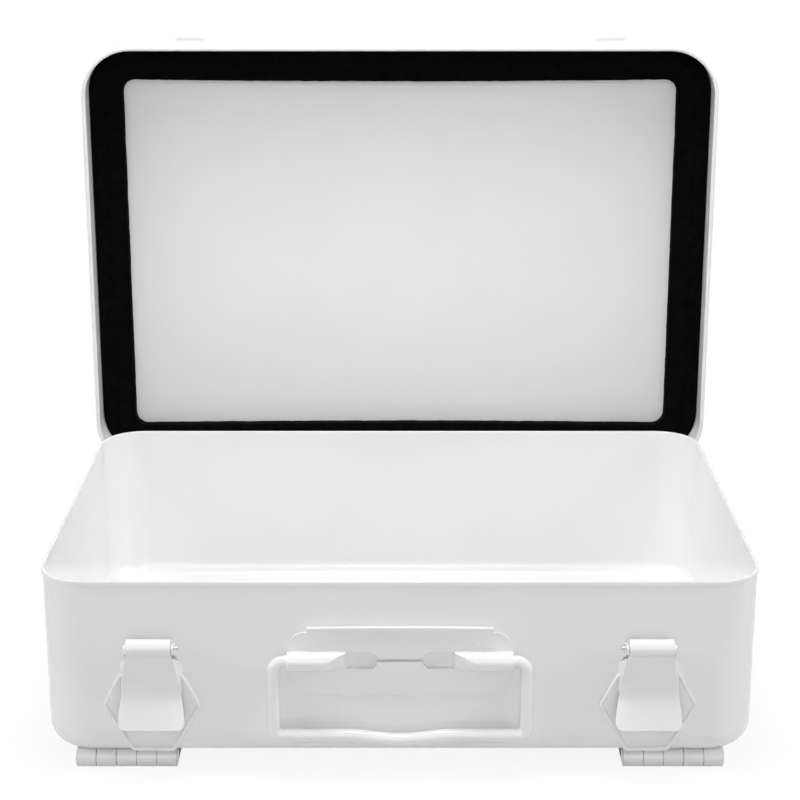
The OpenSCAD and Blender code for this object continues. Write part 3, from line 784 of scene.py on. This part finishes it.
class BuildLatches(bpy.types.Operator):
    """Draw latches: bracket, pin, lever and wire loop on both sides"""
    bl_idname = "first_aid_box.latches"
    bl_label = "Draw latches"

    def execute(self, context):
        s = context.scene.first_aid_box_sizes
        for name, side in SIDES.items():
            pivot = JOINT_AT[f"{name}_lever_pivot"]
            mid = Vector((side * LATCH_X, 0, 0))
            new_piece(f"{name}_latch_bracket", placed(self.bracket(s, pivot), side, mid),
                      "hardware", "base", f"{name}_latch_plate")
            new_piece(f"{name}_latch_rivet", placed(self.pin(), side, mid + Vector((0, pivot.y, pivot.z))),
                      "steel", "base", f"{name}_latch_pin")
            new_piece(f"{name}_lever", placed(self.lever(s, pivot), side, mid),
                      "hardware", f"{name}_lever", f"{name}_latch_lever")
            new_piece(f"{name}_wire_loop", self.loop(s, mid, JOINT_AT[f"{name}_loop_pivot"]),
                      "wire", f"{name}_loop", f"{name}_latch_loop")
        return {"FINISHED"}

    @staticmethod
    def bracket(s, pivot):
        half, face = 12.6, WALL_Y - s.plate / 2
        right = [(half, -1.5), (half, -6), (21.3, -33.8), (9.1, -56.1)]
        left = [(-x, z) for x, z in reversed(right)]
        bm = bmesh.new()
        line(bm, [(x * MM, face, pivot.z + z * MM) for x, z in right + left],
             mm({0: 0.8, 1: 6, 2: 3, 3: 2, 4: 2, 5: 3, 6: 6, 7: 0.8}), closed=True)
        flat_sheet(bm)
        bm = thickened(bm, s.plate, s.cut_edge)
        # an ear on each side reaches out from the wall and holds the pin
        eye, root = 2.6 * MM, WALL_Y - 0.2 * MM
        for end in (-1, 1):
            ear = bmesh.new()
            x = end * (half * MM - s.lever_sheet / 2)
            line(ear, [
                (x, root, pivot.z - 9 * MM), (x, pivot.y - eye, pivot.z - eye),
                (x, pivot.y - eye, pivot.z + eye), (x, root, pivot.z - 2 * MM)],
                {1: 0.9 * eye, 2: 0.9 * eye}, closed=True, steps=8)
            flat_sheet(ear)
            bm = joined(bm, thickened(ear, s.lever_sheet, s.cut_edge))
        return bm

    @staticmethod
    def pin():
        # the closed head is on the outer side, and the inner end stands free with a groove near its tip
        profile = [(-12.95, 0), (-12.95, 1.5), (-12.65, 1.5), (-12.65, 1.0), (13.0, 1.0), (13.1, 0.75),
                   (13.6, 0.75), (13.7, 1.0), (15.1, 1.0), (15.1, 0)]
        return turned_on_x(
            [(x * MM, radius * MM) for x, radius in profile], NOWHERE, mm({1: 0.25, 8: 0.3}), steps=24)

    @staticmethod
    def lever(s, pivot):
        # rows down the lever: height under the pivot and half width, in millimetres
        waist, tip, widest = -26.8, -45.3, 17.0
        rows = [(-2.5, 11.2), (-5.0, 11.4), (-6.4, 11.8), (-11.0, 12.5), (-17.2, 13.6), (-22.0, 14.6),
                (waist, 15.2), (-33.0, 16.1), (-40.0, widest), (tip, widest)]
        waist_row = 6

        def out_at(z):
            """How far the sheet's middle stands off the wall, in millimetres: least at the waist."""
            if z > waist:
                return 10 + (z + 3.2) * 4.8 / 23.6
            return 5.2 - (z - waist) * 6.2 / 18.5

        def half_at(z):
            for (z0, w0), (z1, w1) in zip(rows, rows[1:]):
                if z >= z1:
                    return w0 + (w1 - w0) * (z0 - z) / (z0 - z1)
            return widest

        bm = bmesh.new()
        verts = line(
            bm, [(-1, WALL_Y - out_at(z) * MM + s.lever_sheet / 2, pivot.z + z * MM) for z, _ in rows],
            {waist_row: 16 * MM}, steps=14)
        edges = edges_among(bm, verts)
        for _ in range(8):
            edges = drawn_out(bm, edges, (0.25, 0, 0))
        for v in bm.verts:
            v.co.x *= half_at((v.co.z - pivot.z) / MM) * MM
        tips = [v for v in bm.verts
                if abs(v.co.x) > (widest - 0.1) * MM and v.co.z < pivot.z + (tip + 0.1) * MM]
        bmesh.ops.bevel(
            bm, geom=tips, offset=3.6 * MM, offset_type="OFFSET", segments=6, profile=0.5, affect="VERTICES",
            material=-1)
        # the cheeks fold back from the upper lever and splay out to the wall, less so towards their ends
        splayed, cheek_y, nearly = 15.5 * MM, WALL_Y - 2.6 * MM, 0.999
        for end in (-1, 1):
            cheek = border(bm, lambda co: (
                co.x * end > 11.6 * MM and -27.5 * MM < co.z - pivot.z < -6.2 * MM
                and abs(co.x * end - half_at((co.z - pivot.z) / MM) * MM) < 0.05 * MM))
            for v in points_in(bmesh.ops.extrude_edge_only(bm, edges=cheek)["geom"]):
                z = (v.co.z - pivot.z) / MM
                reach = min(1.0, (z + 27.6) / 6.0, (-5.8 - z) / 5.0)
                v.co.x += end * (splayed - abs(v.co.x)) * reach
                v.co.y += (cheek_y - v.co.y) * reach * nearly
        close_up(bm)
        bm = thickened(bm, s.lever_sheet, s.cut_edge)
        half, bore, skin = 11.4 * MM, 1.08 * MM, 4.3 * MM
        roll = turned_on_x(
            [(-half, bore), (-half, skin), (half, skin), (half, bore), (-half, bore)],
            (0, pivot.y, pivot.z), mm({1: 0.7, 2: 0.7}), steps=40)
        return joined(bm, roll)

    @staticmethod
    def loop(s, mid, loop_at):
        right = [(10.5, -41.5), (24.3, -16.6), (15.7, 0)]
        left = [(-x, z) for x, z in reversed(right)]
        return drawn_wire(
            [(mid.x + x * MM, loop_at.y, loop_at.z + z * MM) for x, z in left + right],
            [1.6, 2, 2, 2, 2, 1.6], s.loop_wire, sides=16, closed=True)


class BuildHinges(bpy.types.Operator):
    """Lid hinges: leaf on the base, leaf on the lid and pin on both sides"""
    bl_idname = "first_aid_box.hinges"
    bl_label = "Lid hinges"

    def execute(self, context):
        s = context.scene.first_aid_box_sizes
        eye, long = 3.2 * MM, 52 * MM
        stations = knuckle_stations(long)
        for name, side in SIDES.items():
            mid = Vector((side * LEAF_X, 0, 0))
            new_piece(f"{name}_hinge_fixed_leaf", placed(self.base_leaf(s, stations, eye), -1, mid),
                      "hardware", "base", f"{name}_hinge_base_leaf")
            new_piece(f"{name}_hinge_swing_leaf", placed(self.lid_leaf(s, stations, eye), -1, mid),
                      "hardware", "lid", f"{name}_hinge_lid_leaf")
            rod_at = mid + Vector((0, HINGE_AT.y, HINGE_AT.z))
            new_piece(f"{name}_hinge_rod", headed_pin(long, 1.9 * MM, 2.3 * MM, 0.8 * MM, rod_at),
                      "steel", "base", f"{name}_hinge_pin")
        return {"FINISHED"}

    @staticmethod
    def base_leaf(s, stations, eye):
        at = HINGE_AT
        wall = TRAY_HIGH.y - WALL_STEP + s.plate / 2
        edge = at.z - eye - KNUCKLE_GAP
        foot = edge - 24 * MM
        bm = flat_leaf(stations, (wall, foot), (wall, edge - 4.4 * MM), 3 * MM)
        flat_sheet(bm)
        edges = border(bm, lambda co: co.z > edge - 4.5 * MM)
        # the leaf is cranked off the wall to the pin's far side
        edges = drawn_out(bm, edges, (0, at.y - (eye - s.plate / 2) - wall, 3.5 * MM))
        edges = drawn_out(bm, edges, (0, 0, 0.9 * MM))
        roll_knuckles(bm, edges, stations, (0, 2, 4), (0, 0, at.z - edge), (0, at.y, at.z), -ROLLED)
        bm = thickened(bm, s.plate, s.cut_edge)
        # the stop's tongue stands out behind the middle knuckle
        stop, stop_y, stop_z = bmesh.new(), at.y + 9.6 * MM, edge - 0.4 * MM
        left, right = stations[4:6]
        tongue = [(left, wall), (right, wall), (right, stop_y), (left, stop_y)]
        line(stop, [(x, y, stop_z) for x, y in tongue], mm({2: 1.5, 3: 1.5}), closed=True)
        flat_sheet(stop)
        bm = joined(bm, thickened(stop, s.plate, s.cut_edge))
        weld_row(bm, wall + s.plate / 2, foot + 8 * MM)
        return bm

    @staticmethod
    def lid_leaf(s, stations, eye):
        at = HINGE_AT
        wall = at.y + (eye - s.plate / 2)
        start = at.z + eye + KNUCKLE_GAP
        top = start + 19 * MM
        bm = flat_leaf(stations, (wall, top), (wall, start), 3 * MM)
        flat_sheet(bm)
        edges = border(bm, lambda co: co.z < start + WELDED)
        roll_knuckles(bm, edges, stations, (1, 3), (0, 0, at.z - start), (0, at.y, at.z), -ROLLED)
        bm = thickened(bm, s.plate, s.cut_edge)
        weld_row(bm, wall + s.plate / 2, top - 7 * MM)
        bmesh.ops.transform(bm, matrix=SWUNG_OPEN, verts=bm.verts[:])
        return bm


class BuildHangers(bpy.types.Operator):
    """Fold-out hangers under the base: fixed leaf, pin and screw leaf at each corner"""
    bl_idname = "first_aid_box.hangers"
    bl_label = "Fold-out hangers"

    def execute(self, context):
        s = context.scene.first_aid_box_sizes
        eye, long = 5.1 * MM, 52.4 * MM
        stations = knuckle_stations(long)
        for row, row_way in ROWS.items():
            for side, side_way in SIDES.items():
                hanger = f"{row}_{side}_hanger"
                at = Vector((side_way * LEAF_X, JOINT_AT[f"{hanger}_pivot"].y, 0))
                rod = headed_pin(long, 3.8 * MM, 4.2 * MM, 0.2 * MM, (0, 0, eye))
                for piece, bm, finish, body, node in (
                        ("fixed_leaf", self.fixed_leaf(s, stations, eye), "hardware", "base", "base"),
                        ("screw_leaf", self.screw_leaf(s, stations, eye), "hardware", hanger, "leaf"),
                        ("rod", rod, "steel", "base", "pin")):
                    new_piece(f"{hanger}_{piece}", placed(bm, side_way, at, row_way), finish, body,
                              f"{hanger}_{node}")
        return {"FINISHED"}

    @staticmethod
    def fixed_leaf(s, stations, eye):
        start, under = eye + 0.4 * MM, TRAY_LOW.z - s.plate / 2
        bm = flat_leaf(stations, (start + 28 * MM, under), (start, under), 4 * MM)
        flat_sheet(bm)
        edges = border(bm, lambda co: co.y < start + WELDED)
        rise = eye + (eye - s.plate / 2) - under
        roll_knuckles(bm, edges, stations, (0, 2, 4), (0, -start, rise), (0, 0, eye), ROLLED)
        bm = thickened(bm, s.plate, s.cut_edge)
        weld_row(bm, start + 18 * MM, under - s.plate / 2, Z)
        return bm

    @staticmethod
    def screw_leaf(s, stations, eye):
        start, low, bend = eye + 0.4 * MM, s.plate / 2, 1.4 * MM
        far = start + 32 * MM - s.plate / 2
        bm = flat_leaf(stations, (far - bend, low), (start, low))
        for way in (-1, 1):
            bmesh.ops.create_circle(
                bm, cap_ends=False, segments=28, radius=2.25 * MM,
                matrix=Matrix.Translation((way * 16 * MM, start + 16 * MM, low)))
        flat_sheet(bm)
        edges = border(bm, lambda co: co.y < start + WELDED)
        roll_knuckles(bm, edges, stations, (1, 3), (0, -start, 0), (0, 0, eye), -ROLLED)
        # the far edge is turned up against the base
        edges = border(bm, lambda co: abs(co.y - far + bend) < WELDED)
        edges = curled(bm, edges, (0, far - bend, low + bend), X, math.pi / 2, 6)
        drawn_out(bm, edges, (0, 0, 2 * eye - low - bend - s.cut_edge))
        return thickened(bm, s.plate, s.cut_edge)


def lay_floor(scene):
    """The studio's floor, which is no piece of the box."""
    bm = bmesh.new()
    bmesh.ops.create_grid(bm, x_segments=2, y_segments=2, size=6)
    mesh = bpy.data.meshes.new("studio_floor")
    bm.to_mesh(mesh)
    bm.free()
    floor = bpy.data.objects.new("studio_floor", mesh)
    mesh.materials.append(FINISH["floor"])
    scene.collection.objects.link(floor)


def fill_air(scene):
    """White to the eye, and only a faint light of its own."""
    world = bpy.data.worlds.new("studio_air")
    scene.world = world
    world.use_nodes = True
    tree = world.node_tree
    tree.nodes.clear()
    out = add_node(tree, "ShaderNodeOutputWorld")
    seen = seen_rays(tree)
    lit, shown = [
        add_node(tree, "ShaderNodeBackground", {"Color": WHITE, "Strength": strength}).outputs[0]
        for strength in (0.11, 1.0)]
    mixed = add_node(tree, "ShaderNodeMixShader", {0: seen, 1: lit, 2: shown})
    tree.links.new(mixed.outputs[0], out.inputs["Surface"])


def hang_lamp(scene, name, place, size, power):
    """A square lamp that faces the box."""
    lamp = bpy.data.lights.new(name, "AREA")
    lamp.shape, lamp.size, lamp.energy = "SQUARE", size, power
    held = bpy.data.objects.new(name, lamp)
    held.location = place
    held.rotation_euler = (LAMPS_FACE - Vector(place)).to_track_quat("-Z", "Y").to_euler()
    scene.collection.objects.link(held)


def stand_camera(scene):
    lens = bpy.data.cameras.new("photo_camera")
    lens.lens, lens.sensor_width, lens.sensor_fit = CAMERA_LENS, 36.0, "HORIZONTAL"
    lens.clip_start, lens.clip_end = 0.05, 30.0
    camera = bpy.data.objects.new("photo_camera", lens)
    camera.location = CAMERA_AT
    camera.rotation_euler = (math.radians(90) - CAMERA_DOWN, 0, 0)
    scene.collection.objects.link(camera)
    scene.camera = camera


class BuildStage(bpy.types.Operator):
    """Floor, soft studio light and the camera"""
    bl_idname = "first_aid_box.stage"
    bl_label = "Stage and camera"

    def execute(self, context):
        scene = context.scene
        lay_floor(scene)
        fill_air(scene)
        for name, (place, size, power) in LAMPS.items():
            hang_lamp(scene, name, place, size, power)
        stand_camera(scene)
        scene.view_settings.view_transform = "Standard"
        return {"FINISHED"}


class FIRSTAIDBOX_PT_pieces(bpy.types.Panel):
    """Lists the operators that build the box"""
    bl_idname = "FIRSTAIDBOX_PT_pieces"
    bl_label = "First aid box"
    bl_space_type = "VIEW_3D"
    bl_region_type = "UI"
    bl_category = "First Aid Box"

    def draw(self, context):
        for builder in BUILDERS:
            self.layout.operator(builder.bl_idname)
        for group in (context.scene.first_aid_box_sizes, context.scene.first_aid_box_colours):
            for name in group.__annotations__:
                self.layout.prop(group, name)


BUILDERS = (
    BuildTray, BuildLid, BuildSeal, BuildCatches, BuildBracket, BuildBail, BuildLatches, BuildHinges,
    BuildHangers, BuildStage)
CLASSES = (FirstAidBoxSizes, FirstAidBoxColours, *BUILDERS, FIRSTAIDBOX_PT_pieces)


def register():
    for made in CLASSES:
        bpy.utils.register_class(made)
    bpy.types.Scene.first_aid_box_sizes = PointerProperty(type=FirstAidBoxSizes)
    bpy.types.Scene.first_aid_box_colours = PointerProperty(type=FirstAidBoxColours)


def unregister():
    del bpy.types.Scene.first_aid_box_sizes
    del bpy.types.Scene.first_aid_box_colours
    for made in reversed(CLASSES):
        bpy.utils.unregister_class(made)


def dress_solids():
    """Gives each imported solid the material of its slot, the hardware's for white paint."""
    slots = {r["node"]: r["material_slot"] for r in frame["record"]["subparts"]}
    finish_of = {slot: finish for finish, slot in SLOT_OF.items() if finish != "sheet"}
    for name, node in frame["nodes"].items():
        node.data.materials.clear()
        node.data.materials.append(FINISH[finish_of[slots[name]]])


def main():
    register()
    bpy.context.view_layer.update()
    make_finishes(bpy.context.scene.first_aid_box_colours)
    for builder in BUILDERS:
        group, name = builder.bl_idname.split(".")
        getattr(getattr(bpy.ops, group), name)()
    dress_solids()
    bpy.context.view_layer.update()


if __name__ == "__main__":
    main()
